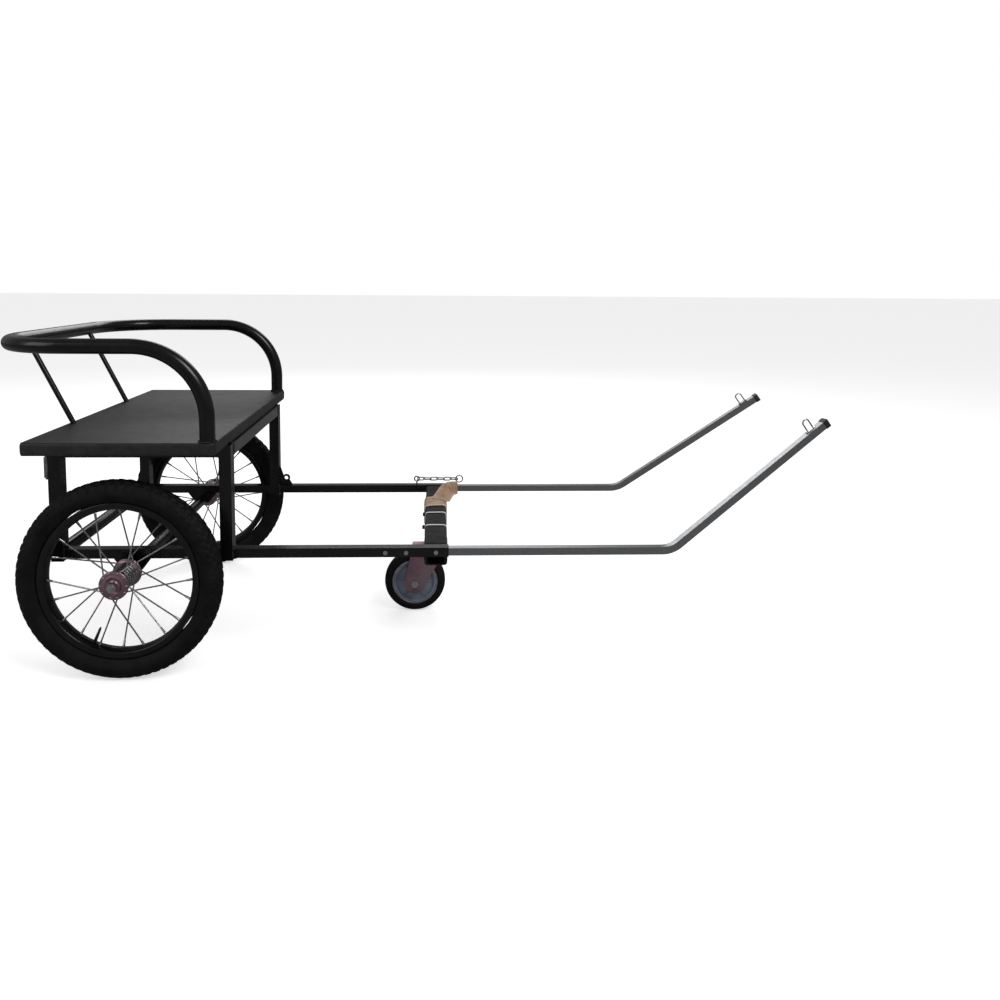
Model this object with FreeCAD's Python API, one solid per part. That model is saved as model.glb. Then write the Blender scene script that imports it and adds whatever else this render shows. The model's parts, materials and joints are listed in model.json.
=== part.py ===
import FreeCAD, Part
import math
import os

# Two-wheeled dog cart. Millimetres.
# +X is forward, towards the dog. +Y is the cart's left side. +Z is up.
# Origin: on the ground, on the centreline, under the axle of the two big wheels.

V = FreeCAD.Vector

# --- big wheels ---
WHEEL_R = 203.0            # outer radius of the tyre
WHEEL_Y = 296.0            # centreline to the middle of a wheel
TYRE_W = 52.0
RIM_OUT_R = 159.0          # top of the rim's two flanges, where the tyre sits
RIM_IN_R = 142.0           # the opening that is seen inside the wheel
RIM_W = 30.0
RIM_WALL = 2.5
TYRE_SEAT_GAP = 0.2        # tyre bead to rim flange
HUB_BARREL_R = 22.0
HUB_FLANGE_R = 29.0
HUB_FLANGE_T = 3.5
HUB_FLANGE_Y = 32.0        # middle of the wheel to the middle of a flange
SPOKE_COUNT = 20           # ten to a flange
SPOKE_R = 1.5
SPOKE_BITE = 0.2           # how far a spoke runs into the rim
SPOKE_HOLE_R = 25.0        # circle of the spoke heads on a flange
SPOKE_LEAN = 34.0          # degrees from a spoke's head to its end at the rim
SPINDLE_R = 6.0
SPINDLE_PLAY = 0.1         # running clearance round the spindle
SPINDLE_OUT = 12.0         # spindle past the outer bearing face
AXLE_NUT_AF = 17.0         # across flats
AXLE_NUT_H = 9.0
AXLE_NUT_GAP = 1.0         # hub's outer end to the nut
SPINDLE_PLUG_L = 30.0      # inside the axle tube
HUB_END_GAP = 1.0          # between the axle tube's shoulder and the hub

# --- frame: legs, rails and seat ---
LEG = 25.0                 # square tube of the legs
LEG_WALL = 2.0
LEG_FRONT_X = 195.0
LEG_REAR_X = -150.0
FRAME_Y = 231.0            # centreline to the middle of legs, rails and shafts
RAIL = 20.0                # square tube of the rails and the shaft sleeves
RAIL_WALL = 1.8
RAIL_Z = 233.0             # middle of the rails and shafts
LEG_DROP = 5.0             # leg below the underside of the rail
SEAT_TOP = 486.0
SEAT_T = 25.0
SEAT_REAR_X = -167.0
SEAT_FRONT_X = 200.0
SEAT_Y = 332.0             # half width of the board
SEAT_CORNER_R = 6.0
SEAT_RAIL_H = 25.0         # rails right under the board
CROSS_TUBE_R = 14.0        # round tube between the rear legs
AXLE_TUBE_R = 12.5
AXLE_TUBE_WALL = 3.0
AXLE_BRACKET_T = 16.0
AXLE_BRACKET_TOP = 76.0    # length along the rail
AXLE_BRACKET_LOW = 34.0
AXLE_BRACKET_SKIRT = 8.0   # below the middle of the axle

# --- backrest: one bent tube and two braces ---
BACK_R = 15.0              # radius of the tube
BACK_WALL = 2.0
BACK_TOP = 671.0           # middle of the straight stretches
BACK_POST_X = 184.0
BACK_REAR_X = -250.0
BACK_BEND_R = 142.0        # post to side
BACK_CORNER_R = 155.0      # side to rear
BRACE_R = 5.5
BRACE_Y = 138.0
BRACE_FOOT = 9.0          # foot ahead of the board's rear edge

# --- shafts ---
SLEEVE_END_X = 655.0
SHAFT_PLAY = 0.2           # each side, inside the sleeve
SHAFT = RAIL - 2 * (RAIL_WALL + SHAFT_PLAY)    # square tube that slides in the sleeve
SHAFT_WALL = 1.5
SHAFT_IN_X = 480.0         # rear end of the shaft inside the sleeve
BEND_X = 1128.0            # where the shaft turns upwards and inwards
TIP_X = 1476.0
TIP_Y = 172.0
TIP_Z = 490.0
BEND_SHAFT_R = 60.0
PLUG_LEN = 11.0
PLUG_LIP = 1.0
PLUG_PLAY = 0.1            # each side, inside the shaft
SHACKLE_WIRE_R = 1.6
SHACKLE_H = 26.0
SHACKLE_W = 15.0
SHACKLE_BACK = 30.0        # from the end of the shaft
BOLT_XS = (523.0, 566.0)
BOLT_HEAD_R = 4.6
BOLT_HEAD_H = 3.0

# --- footrest beam and its pad ---
BEAM_X = 628.5
BEAM = 40.0                # square tube
BEAM_WALL = 2.0
PAD_T = 4.5
PAD_GAP = 0.3
PAD_END = 8.0              # bare beam at each end
TIE_YS = (-100.0, -10.0)
TIE_W = 5.0
TIE_T = 1.6
TIE_HEAD = (6.0, 7.5, 8.0)

# --- leather hitch strap, ring and chain ---
STRAP_Y = 74.0
STRAP_W = 70.0
STRAP_T = 4.0
TAIL_W = 58.0              # where the tail leaves the band
TAIL_END = (686.0, 168.0, 252.0)
TAIL_END_H = 36.0          # the tail's end, twisted on edge
RING_R = 9.0
RING_WIRE_R = 1.7
CHAIN_EYE_X = 578.0
CHAIN_EYE_R = 6.5
CHAIN_EYE_WIRE_R = 2.0
CHAIN_EYE_STEM = 9.0
LINK_W = 12.0
LINK_WIRE_R = 1.7
LINK_PLAY = 0.3
LINK_COUNT = 6

# --- caster ---
CASTER_X = BEAM_X          # swivel axis
CASTER_TRAIL = 49.0
CASTER_R = 73.0
CASTER_W = 34.0
CASTER_RIM_R = 55.0
CASTER_HUB_W = 40.0
CASTER_HUB_R = 15.0
CASTER_DISC_T = 12.0
CASTER_TYRE_ROUND = 9.0
CASTER_AXLE_R = 5.0
CASTER_AXLE_PLAY = 0.1
FORK_T = 4.0
FORK_GAP = 2.5             # hub end to fork blade
FORK_EYE_R = 25.0
FORK_TOP_REAR = 56.0       # crown behind the swivel axis
FORK_TOP_FRONT = 27.0      # crown ahead of it
TYRE_TO_CROWN = 8.0
CASTER_PLATE_L = 60.0      # across the cart
CASTER_PLATE_W = 38.0
CASTER_PLATE_T = 5.0
CASTER_RACE_R = 19.0
CASTER_RACE_GAP = 0.5
KINGPIN_R = 6.0
KINGPIN_PLAY = 0.1
KINGPIN_HEAD_R = 10.0
KINGPIN_HEAD_T = 2.5

# --- small fittings ---
LATCH_L = 52.0
LATCH_W = 13.0
LATCH_TOP = 440.0
EYE_PLATE_T = 5.0
EYE_PLATE_H = 54.0
EYE_PLATE_L = 34.0
EYE_HOLE_R = 5.0

# --- worked-out places ---
RAIL_TOP = RAIL_Z + RAIL / 2
RAIL_LOW = RAIL_Z - RAIL / 2
SEAT_LOW = SEAT_TOP - SEAT_T
SEAT_RAIL_Z = SEAT_LOW - SEAT_RAIL_H / 2
LEG_LOW = RAIL_LOW - LEG_DROP
HUB_IN_Y = WHEEL_Y - HUB_FLANGE_Y - HUB_FLANGE_T
HUB_OUT_Y = WHEEL_Y + HUB_FLANGE_Y + HUB_FLANGE_T
AXLE_TUBE_END = HUB_IN_Y - HUB_END_GAP
BEAM_TOP = RAIL_TOP - PAD_T - PAD_GAP
BEAM_Z = BEAM_TOP - BEAM / 2
BEAM_LOW = BEAM_TOP - BEAM
BEAM_END_Y = FRAME_Y - RAIL / 2
PAD_IN = BEAM / 2 + PAD_GAP
PAD_OUT = PAD_IN + PAD_T
CASTER_AXLE_X = CASTER_X - CASTER_TRAIL
BLADE_IN = CASTER_HUB_W / 2 + FORK_GAP
CROWN_LOW = 2 * CASTER_R + TYRE_TO_CROWN
BACK_POST_Y = SEAT_Y - BACK_R

os.makedirs("parts", exist_ok=True)


# --- helpers ---
def save(name, *solids):
    shape = solids[0] if len(solids) == 1 else Part.makeCompound(list(solids))
    shape.exportStep("parts/" + name + ".step")


def box(x0, x1, y0, y1, z0, z1):
    return Part.makeBox(x1 - x0, y1 - y0, z1 - z0, V(x0, y0, z0))


def rod_y(radius, x, z, y0, y1):
    return Part.makeCylinder(radius, y1 - y0, V(x, y0, z), V(0, 1, 0))


def rod_z(radius, x, y, z0, z1):
    return Part.makeCylinder(radius, z1 - z0, V(x, y, z0), V(0, 0, 1))


def rod(radius, a, b):
    return Part.makeCylinder(radius, (b - a).Length, a, b - a)


def tube_x(size, wall, x0, x1, y, z):
    """Square tube along X, open at both ends."""
    h, g = size / 2, size / 2 - wall
    outer = box(x0, x1, y - h, y + h, z - h, z + h)
    return outer.cut(box(x0 - 1, x1 + 1, y - g, y + g, z - g, z + g))


def tube_y(size, wall, y0, y1, x, z):
    h, g = size / 2, size / 2 - wall
    outer = box(x - h, x + h, y0, y1, z - h, z + h)
    return outer.cut(box(x - g, x + g, y0 - 1, y1 + 1, z - g, z + g))


def tube_z(size, wall, z0, z1, x, y):
    h, g = size / 2, size / 2 - wall
    outer = box(x - h, x + h, y - h, y + h, z0, z1)
    return outer.cut(box(x - g, x + g, y - g, y + g, z0 - 1, z1 + 1))


def mirror(shape):
    return shape.mirror(V(0, 0, 0), V(0, 1, 0))


def rounded_path(points, radii):
    """Wire through the points, with an arc of the given radius at each inner corner."""
    edges = []
    last = points[0]
    for before, corner, after, radius in zip(points, points[1:], points[2:], radii):
        u = (before - corner).normalize()
        w = (after - corner).normalize()
        half = u.getAngle(w) / 2
        reach = radius / math.tan(half)
        a = corner + u * reach
        b = corner + w * reach
        middle_dir = (u + w).normalize()
        centre = corner + middle_dir * (radius / math.sin(half))
        middle = centre - middle_dir * radius
        edges.append(Part.makeLine(last, a))
        edges.append(Part.Arc(a, middle, b).toShape())
        last = b
    edges.append(Part.makeLine(last, points[-1]))
    return Part.Wire(edges)


def pipe(path, radius, wall=0.0):
    """Round tube, or a rod where wall is 0, along a wire."""
    start = path.Edges[0].valueAt(path.Edges[0].FirstParameter)
    heading = path.Edges[0].tangentAt(path.Edges[0].FirstParameter)

    def sweep(r):
        ring = Part.Wire([Part.makeCircle(r, start, heading)])
        return path.makePipeShell([ring], True, False)

    outer = sweep(radius)
    return outer.cut(sweep(radius - wall)) if wall else outer


def square_sweep(path, size, side):
    """Square bar along a wire that starts along X; side is the Y direction at its start."""
    start = path.Edges[0].valueAt(path.Edges[0].FirstParameter)
    h = size / 2
    corners = [V(start.x, start.y + side * a * h, start.z + b * h)
               for a, b in ((-1, -1), (1, -1), (1, 1), (-1, 1), (-1, -1))]
    ring = Part.makePolygon(corners)
    return path.makePipeShell([ring], True, False)


def racetrack(length, width, wire_r):
    """One oblong link lying in the XY plane, its middle at the origin."""
    straight = (length - width) / 2
    bend = width / 2 - wire_r
    arc_r = Part.Arc(V(straight, -bend, 0), V(straight + bend, 0, 0), V(straight, bend, 0))
    arc_l = Part.Arc(V(-straight, bend, 0), V(-straight - bend, 0, 0), V(-straight, -bend, 0))
    path = Part.Wire([Part.makeLine(V(-straight, -bend, 0), V(straight, -bend, 0)),
                      arc_r.toShape(),
                      Part.makeLine(V(straight, bend, 0), V(-straight, bend, 0)),
                      arc_l.toShape()])
    return pipe(path, wire_r)


def hexagon(across, height, centre, axis):
    r = across / math.sqrt(3)
    points = [V(r * math.cos(math.radians(60 * i)), r * math.sin(math.radians(60 * i)), 0)
              for i in range(7)]
    prism = Part.Face(Part.makePolygon(points)).extrude(V(0, 0, height))
    prism.Placement = FreeCAD.Placement(centre, FreeCAD.Rotation(V(0, 0, 1), axis))
    return prism


# --- seat and frame ---
def seat_board():
    board = box(SEAT_REAR_X, SEAT_FRONT_X, -SEAT_Y, SEAT_Y, SEAT_LOW, SEAT_TOP)
    uprights = [e for e in board.Edges if abs(e.tangentAt(0).z) > 0.9]
    save("seat_board", board.makeFillet(SEAT_CORNER_R, uprights))


def legs():
    for end, x in (("front", LEG_FRONT_X), ("rear", LEG_REAR_X)):
        for side, y in (("left", FRAME_Y), ("right", -FRAME_Y)):
            save(side + "_" + end + "_leg", tube_z(LEG, LEG_WALL, LEG_LOW, SEAT_LOW, x, y))


def seat_rails():
    inner = FRAME_Y - LEG / 2
    for end, x in (("front", LEG_FRONT_X), ("rear", LEG_REAR_X)):
        save(end + "_seat_rail", tube_y(SEAT_RAIL_H, LEG_WALL, -inner, inner, x, SEAT_RAIL_Z))
    for side, y in (("left", FRAME_Y), ("right", -FRAME_Y)):
        save(side + "_seat_rail",
             tube_x(SEAT_RAIL_H, LEG_WALL, LEG_REAR_X + LEG / 2, LEG_FRONT_X - LEG / 2, y, SEAT_RAIL_Z))


def side_rails():
    for side, y in (("left", FRAME_Y), ("right", -FRAME_Y)):
        save(side + "_side_rail",
             tube_x(RAIL, RAIL_WALL, LEG_REAR_X + LEG / 2, LEG_FRONT_X - LEG / 2, y, RAIL_Z))
        save(side + "_shaft_sleeve",
             tube_x(RAIL, RAIL_WALL, LEG_FRONT_X + LEG / 2, SLEEVE_END_X, y, RAIL_Z))


def rear_cross_tube():
    inner = FRAME_Y - LEG / 2
    outer = rod_y(CROSS_TUBE_R, LEG_REAR_X, RAIL_Z, -inner, inner)
    save("rear_cross_tube", outer.cut(rod_y(CROSS_TUBE_R - RAIL_WALL, LEG_REAR_X, RAIL_Z,
                                            -inner - 1, inner + 1)))


# --- axle ---
def axle_tube():
    outer = rod_y(AXLE_TUBE_R, 0, WHEEL_R, -AXLE_TUBE_END, AXLE_TUBE_END)
    bore = rod_y(AXLE_TUBE_R - AXLE_TUBE_WALL, 0, WHEEL_R, -AXLE_TUBE_END - 1, AXLE_TUBE_END + 1)
    save("axle_tube", outer.cut(bore))


def axle_brackets():
    """A trapezoid block under each rail, cut out round the axle tube."""
    low = WHEEL_R - AXLE_BRACKET_SKIRT
    plates = []
    for y in (-FRAME_Y, FRAME_Y):
        top, base = AXLE_BRACKET_TOP / 2, AXLE_BRACKET_LOW / 2
        y0 = y - AXLE_BRACKET_T / 2
        outline = Part.makePolygon([V(-top, y0, RAIL_LOW), V(top, y0, RAIL_LOW), V(base, y0, low),
                                    V(-base, y0, low), V(-top, y0, RAIL_LOW)])
        plate = Part.Face(outline).extrude(V(0, AXLE_BRACKET_T, 0))
        cut = plate.cut(rod_y(AXLE_TUBE_R, 0, WHEEL_R, y0 - 1, y0 + AXLE_BRACKET_T + 1))
        plates.extend(cut.Solids)
    save("axle_brackets", *plates)


def axle_spindles():
    """A spindle with its nut at each end of the axle tube, plugged into the tube."""
    spindles = []
    for side in (-1, 1):
        plug_r = AXLE_TUBE_R - AXLE_TUBE_WALL
        plug = rod_y(plug_r, 0, WHEEL_R, AXLE_TUBE_END - SPINDLE_PLUG_L, AXLE_TUBE_END)
        end = HUB_OUT_Y + SPINDLE_OUT
        pin = rod_y(SPINDLE_R, 0, WHEEL_R, AXLE_TUBE_END - 1, end)
        nut = hexagon(AXLE_NUT_AF, AXLE_NUT_H, V(0, HUB_OUT_Y + AXLE_NUT_GAP, WHEEL_R), V(0, 1, 0))
        one = plug.fuse(pin).fuse(nut).removeSplitter()
        spindles.append(one if side > 0 else mirror(one))
    save("axle_spindles", *spindles)


# --- big wheels ---
def ring_profile(points):
    """Solid turned about the wheel's axis from (radius, offset along Y) points."""
    wire = Part.makePolygon([V(r, y, 0) for r, y in points + points[:1]])
    return Part.Face(wire).revolve(V(0, 0, 0), V(0, 1, 0), 360)


def rim():
    h = RIM_W / 2
    g = h - RIM_WALL
    floor = RIM_IN_R + 2 * RIM_WALL
    return ring_profile([(RIM_IN_R, -g), (RIM_IN_R, g), (RIM_IN_R + RIM_WALL, h), (RIM_OUT_R, h),
                         (RIM_OUT_R, g), (floor, g), (floor, -g), (RIM_OUT_R, -g),
                         (RIM_OUT_R, -h), (RIM_IN_R + RIM_WALL, -h)])


def tyre():
    """Round section that narrows to sit on the rim's flanges."""
    half = TYRE_W / 2
    centre = WHEEL_R - half
    body = Part.makeTorus(centre, half, V(0, 0, 0), V(0, 1, 0))
    return body.cut(rod_y(RIM_OUT_R + TYRE_SEAT_GAP, 0, 0, -TYRE_W, TYRE_W))


def hub():
    flange_out = HUB_FLANGE_Y + HUB_FLANGE_T
    shape = rod_y(HUB_BARREL_R, 0, 0, -flange_out, flange_out)
    for side in (-1, 1):
        mid = side * HUB_FLANGE_Y
        shape = shape.fuse(rod_y(HUB_FLANGE_R, 0, 0, mid - HUB_FLANGE_T / 2, mid + HUB_FLANGE_T / 2))
    bore = rod_y(SPINDLE_R + SPINDLE_PLAY, 0, 0, -flange_out - 1, flange_out + 1)
    return shape.cut(bore).removeSplitter()


def spokes():
    """Each spoke runs from its flange, slanting forwards or back in turn, to the rim."""
    rods = []
    step = 360.0 / SPOKE_COUNT
    for i in range(SPOKE_COUNT):
        side = 1 if i % 2 else -1
        lean = SPOKE_LEAN if (i // 2) % 2 else -SPOKE_LEAN
        at_rim = math.radians(step * i)
        at_hub = math.radians(step * i + lean)
        start = V(SPOKE_HOLE_R * math.cos(at_hub), side * (HUB_FLANGE_Y - HUB_FLANGE_T / 2),
                  SPOKE_HOLE_R * math.sin(at_hub))
        reach = RIM_IN_R + SPOKE_BITE
        end = V(reach * math.cos(at_rim), side * RIM_W / 8, reach * math.sin(at_rim))
        rods.append(rod(SPOKE_R, start, end))
    return rods


def wheels():
    for side, y in (("left", WHEEL_Y), ("right", -WHEEL_Y)):
        place = V(0, y, WHEEL_R)
        save(side + "_tyre", tyre().translated(place))
        save(side + "_rim", rim().translated(place))
        save(side + "_hub", hub().translated(place))
        save(side + "_spokes", *[s.translated(place) for s in spokes()])


# --- backrest ---
def back_points():
    y = BACK_POST_Y
    return [V(BACK_POST_X, -y, SEAT_TOP), V(BACK_POST_X, -y, BACK_TOP), V(BACK_REAR_X, -y, BACK_TOP),
            V(BACK_REAR_X, y, BACK_TOP), V(BACK_POST_X, y, BACK_TOP), V(BACK_POST_X, y, SEAT_TOP)]


def backrest():
    radii = [BACK_BEND_R, BACK_CORNER_R, BACK_CORNER_R, BACK_BEND_R]
    path = rounded_path(back_points(), radii)
    save("backrest_rail", pipe(path, BACK_R, BACK_WALL))
    foot_x = SEAT_REAR_X + BRACE_FOOT
    braces = []
    rail = rod_y(BACK_R, BACK_REAR_X, BACK_TOP, -SEAT_Y, SEAT_Y)
    for y in (-BRACE_Y, BRACE_Y):
        foot = V(foot_x, y, SEAT_TOP)
        head = V(BACK_REAR_X, y, BACK_TOP)
        run = (head - foot).normalize()
        bar = rod(BRACE_R, foot - run * 2 * BRACE_R, head)
        board_top = box(foot_x - 99, foot_x + 99, y - 99, y + 99, SEAT_TOP - 99, SEAT_TOP)
        braces.append(bar.cut(board_top).cut(rail))
    save("backrest_braces", *braces)


# --- shafts ---
def shaft_path():
    return [V(SHAFT_IN_X, FRAME_Y, RAIL_Z), V(BEND_X, FRAME_Y, RAIL_Z), V(TIP_X, TIP_Y, TIP_Z)]


def shafts():
    path = rounded_path(shaft_path(), [BEND_SHAFT_R])
    bore = square_sweep(path, SHAFT - 2 * SHAFT_WALL, 1)
    shaft = square_sweep(path, SHAFT, 1).cut(bore)
    save("left_shaft_tube", shaft)
    save("right_shaft_tube", mirror(shaft))


def tip_fittings():
    """Plug and wire shackle at each end; the bend carries the square section round with it."""
    points = shaft_path()
    tip = points[2]
    heading = (tip - points[1]).normalize()
    turn = FreeCAD.Rotation(V(1, 0, 0), heading)
    h = SHAFT / 2 + PLUG_LIP
    cap = box(0, PLUG_LEN, -h, h, -h, h)
    g = SHAFT / 2 - SHAFT_WALL - PLUG_PLAY
    cap = cap.fuse(box(-PLUG_LEN, 0.5, -g, g, -g, g)).removeSplitter()
    cap.Placement = FreeCAD.Placement(tip, turn)
    save("shaft_plugs", cap, mirror(cap))
    w = SHACKLE_W / 2
    base = SHAFT / 2 + SHACKLE_WIRE_R
    loop = rounded_path([V(-w, 0, base), V(-w, 0, base + SHACKLE_H), V(w, 0, base + SHACKLE_H),
                         V(w, 0, base)], [w * 0.9, w * 0.9])
    wire = pipe(loop, SHACKLE_WIRE_R)
    saddle = box(-w - 4, w + 4, -5, 5, SHAFT / 2, base + SHACKLE_WIRE_R)
    one = wire.fuse(saddle).removeSplitter()
    one.Placement = FreeCAD.Placement(tip - heading * SHACKLE_BACK, turn)
    save("shaft_shackles", one, mirror(one))


def shaft_bolts():
    heads = []
    face = FRAME_Y + RAIL / 2
    for x in BOLT_XS + (BEAM_X,):
        for side in (-1, 1):
            y0 = face if side > 0 else -face - BOLT_HEAD_H
            heads.append(rod_y(BOLT_HEAD_R, x, RAIL_Z, y0, y0 + BOLT_HEAD_H))
    save("shaft_bolts", *heads)


# --- footrest beam ---
def footrest():
    save("footrest_beam", tube_y(BEAM, BEAM_WALL, -BEAM_END_Y, BEAM_END_Y, BEAM_X, BEAM_Z))
    end = BEAM_END_Y - PAD_END
    pad = tube_y(2 * PAD_OUT, PAD_T, -end, end, BEAM_X, BEAM_Z)
    plate = CASTER_PLATE_L / 2 + PAD_GAP
    pad = pad.cut(box(BEAM_X - 99, BEAM_X + 99, -plate, plate, BEAM_LOW - 99, BEAM_LOW))
    save("footrest_pad", pad)
    ties = []
    for y in TIE_YS:
        band = tube_y(2 * (PAD_OUT + TIE_T), TIE_T, y - TIE_W / 2, y + TIE_W / 2, BEAM_X, BEAM_Z)
        x1 = BEAM_X - PAD_OUT - TIE_T
        head = box(x1 - TIE_HEAD[0], x1, y - TIE_HEAD[1] / 2, y + TIE_HEAD[1] / 2,
                   BEAM_Z + PAD_OUT - TIE_HEAD[2], BEAM_Z + PAD_OUT)
        half_w, half_l = CASTER_PLATE_W / 2 + PAD_GAP, CASTER_PLATE_L / 2 + PAD_GAP
        plate = box(BEAM_X - half_w, BEAM_X + half_w, -half_l, half_l, 0, BEAM_LOW)
        ties.append(band.fuse(head).removeSplitter().cut(plate))
    save("cable_ties", *ties)


# --- hitch strap ---
def strap_band_out():
    return PAD_OUT + STRAP_T


def hitch_strap():
    """Band round the pad, and a tail that twists from flat to on edge."""
    out = strap_band_out()
    band = tube_y(2 * out, STRAP_T, STRAP_Y - STRAP_W / 2, STRAP_Y + STRAP_W / 2, BEAM_X, BEAM_Z)
    t = STRAP_T / 2
    root_x, root_z = BEAM_X + PAD_OUT - STRAP_T, BEAM_Z + PAD_OUT + t
    base = Part.makePolygon([V(root_x, STRAP_Y + a * TAIL_W / 2, root_z + b * t)
                             for a, b in ((-1, -1), (1, -1), (1, 1), (-1, 1), (-1, -1))])
    x, y, z = TAIL_END
    end = Part.makePolygon([V(x, y + b * t, z - a * TAIL_END_H / 2)
                            for a, b in ((1, -1), (-1, -1), (-1, 1), (1, 1), (1, -1))])
    tail = Part.makeLoft([base, end], True, True)
    inside = box(BEAM_X - PAD_OUT, BEAM_X + PAD_OUT, -FRAME_Y, FRAME_Y,
                 BEAM_Z - PAD_OUT, BEAM_Z + PAD_OUT)
    save("hitch_strap", band.fuse(tail).cut(inside).removeSplitter())


def hitch_chain():
    """Ring in the tail's upper corner, links from it to an eye on the left sleeve."""
    x, y, z = TAIL_END
    ring_mid = V(x + RING_R - RING_WIRE_R - 2, y, z + TAIL_END_H / 2 + RING_R - 2 * RING_WIRE_R)
    eye_mid = V(CHAIN_EYE_X, FRAME_Y, RAIL_TOP + CHAIN_EYE_STEM + CHAIN_EYE_R)
    ring = Part.makeTorus(RING_R, RING_WIRE_R, ring_mid, V(0, 1, 0))
    eye = Part.makeTorus(CHAIN_EYE_R, CHAIN_EYE_WIRE_R, eye_mid, V(0, 1, 0))
    stem = rod_z(CHAIN_EYE_WIRE_R, CHAIN_EYE_X, FRAME_Y, RAIL_TOP, RAIL_TOP + CHAIN_EYE_STEM)
    eye = eye.fuse(stem).removeSplitter()
    run = (ring_mid - eye_mid).normalize()
    start = eye_mid + run * (CHAIN_EYE_R - CHAIN_EYE_WIRE_R - LINK_PLAY)
    stop = ring_mid - run * (RING_R - RING_WIRE_R - LINK_PLAY)
    wire = 2 * LINK_WIRE_R
    reach = (stop - start).Length + 2 * LINK_WIRE_R * 2
    pitch = (reach - wire) / LINK_COUNT
    length = pitch + wire + LINK_WIRE_R
    pieces = [ring, eye]
    for i in range(LINK_COUNT):
        link = racetrack(length - LINK_PLAY, LINK_W, LINK_WIRE_R)
        turn = FreeCAD.Rotation(run, V(0, 0, 0), V(0, 0, 1), "XZY")
        roll = FreeCAD.Rotation(V(1, 0, 0), 90 * (i % 2) + 45)
        middle = start - run * wire + run * (pitch * (i + 0.5) + wire / 2)
        link.Placement = FreeCAD.Placement(middle, turn.multiply(roll))
        pieces.append(link)
    save("hitch_chain", *pieces)


# --- caster ---
def caster_head():
    """Plate under the beam with the upper race and the kingpin."""
    plate_low = BEAM_LOW - CASTER_PLATE_T
    crown_top = CROWN_LOW + FORK_T
    split = (plate_low + crown_top) / 2
    head = box(CASTER_X - CASTER_PLATE_W / 2, CASTER_X + CASTER_PLATE_W / 2,
               -CASTER_PLATE_L / 2, CASTER_PLATE_L / 2, plate_low, BEAM_LOW)
    pin_low = CROWN_LOW - CASTER_RACE_GAP - KINGPIN_HEAD_T
    head = head.fuse(rod_z(CASTER_RACE_R, CASTER_X, 0, split + CASTER_RACE_GAP, plate_low))
    head = head.fuse(rod_z(KINGPIN_R, CASTER_X, 0, pin_low, plate_low))
    head = head.fuse(rod_z(KINGPIN_HEAD_R, CASTER_X, 0, pin_low, pin_low + KINGPIN_HEAD_T))
    save("caster_head", head.removeSplitter())
    return split


def caster_fork(split):
    crown_top = CROWN_LOW + FORK_T
    out = BLADE_IN + FORK_T
    x0, x1 = CASTER_X - FORK_TOP_REAR, CASTER_X + FORK_TOP_FRONT
    fork = box(x0, x1, -out, out, CROWN_LOW, crown_top)
    fork = fork.fuse(rod_z(CASTER_RACE_R, CASTER_X, 0, crown_top - 1, split - CASTER_RACE_GAP))
    for side in (-1, 1):
        y0 = BLADE_IN if side > 0 else -out
        outline = Part.makePolygon([V(x0, y0, crown_top), V(x1, y0, crown_top),
                                    V(CASTER_AXLE_X + FORK_EYE_R, y0, CASTER_R),
                                    V(CASTER_AXLE_X - FORK_EYE_R, y0, CASTER_R),
                                    V(x0, y0, crown_top)])
        blade = Part.Face(outline).extrude(V(0, FORK_T, 0))
        blade = blade.fuse(rod_y(FORK_EYE_R, CASTER_AXLE_X, CASTER_R, y0, y0 + FORK_T))
        fork = fork.fuse(blade)
    pin_hole = rod_z(KINGPIN_R + KINGPIN_PLAY, CASTER_X, 0, CROWN_LOW - 1, split + 1)
    axle_hole = rod_y(CASTER_AXLE_R, CASTER_AXLE_X, CASTER_R, -out - 1, out + 1)
    save("caster_fork", fork.cut(pin_hole).cut(axle_hole).removeSplitter())


def caster_axle():
    out = BLADE_IN + FORK_T
    bolt = rod_y(CASTER_AXLE_R, CASTER_AXLE_X, CASTER_R, -out - 3, out + 3)
    across = 3.2 * CASTER_AXLE_R
    for y, way in ((out, V(0, 1, 0)), (-out, V(0, -1, 0))):
        bolt = bolt.fuse(hexagon(across, 1.2 * CASTER_AXLE_R, V(CASTER_AXLE_X, y, CASTER_R), way))
    save("caster_axle", bolt.removeSplitter())


def caster_wheel():
    half = CASTER_W / 2
    bore = rod_y(CASTER_AXLE_R + CASTER_AXLE_PLAY, CASTER_AXLE_X, CASTER_R, -99, 99)
    centre = rod_y(CASTER_RIM_R, CASTER_AXLE_X, CASTER_R, -CASTER_DISC_T / 2, CASTER_DISC_T / 2)
    hub_half = CASTER_HUB_W / 2
    centre = centre.fuse(rod_y(CASTER_HUB_R, CASTER_AXLE_X, CASTER_R, -hub_half, hub_half))
    band_half = half - 3
    band = rod_y(CASTER_RIM_R, CASTER_AXLE_X, CASTER_R, -band_half, band_half)
    band = band.cut(rod_y(CASTER_RIM_R - 6, CASTER_AXLE_X, CASTER_R, -99, 99))
    save("caster_wheel", centre.fuse(band).removeSplitter().cut(bore))
    tread = rod_y(CASTER_R, CASTER_AXLE_X, CASTER_R, -half, half)
    rims = [e for e in tread.Edges if abs(e.Length - 2 * math.pi * CASTER_R) < 1]
    tread = tread.makeFillet(CASTER_TYRE_ROUND, rims)
    save("caster_tyre", tread.cut(rod_y(CASTER_RIM_R, CASTER_AXLE_X, CASTER_R, -99, 99)))


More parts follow.
